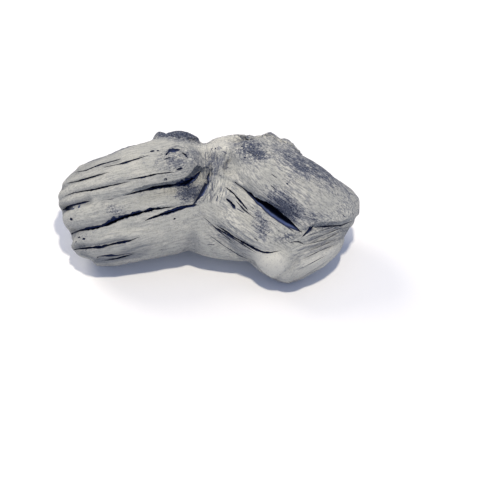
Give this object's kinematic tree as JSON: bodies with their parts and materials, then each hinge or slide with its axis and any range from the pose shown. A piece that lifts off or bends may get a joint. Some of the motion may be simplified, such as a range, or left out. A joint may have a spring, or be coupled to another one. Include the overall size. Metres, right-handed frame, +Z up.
{
  "type": "charcoal lump",
  "caption": "Gnarled lump of hardwood charcoal with a split branch end, a knot and a gashed burl, for burning or drawing.",
  "frame": {"origin": "on the ground under the middle of the lump's box, as the lump lies at rest", "axes": "+X along the lump from the branch end to the burl, +Y to its rear, +Z up"},
  "size_m": [0.1806, 0.0848, 0.0727],
  "materials": {
    "ash_dusted_charcoal": "matte, pale ash over char"
  },
  "bodies": {
    "root": {"charcoal_lump": "ash_dusted_charcoal"}
  },
  "joints": []
}
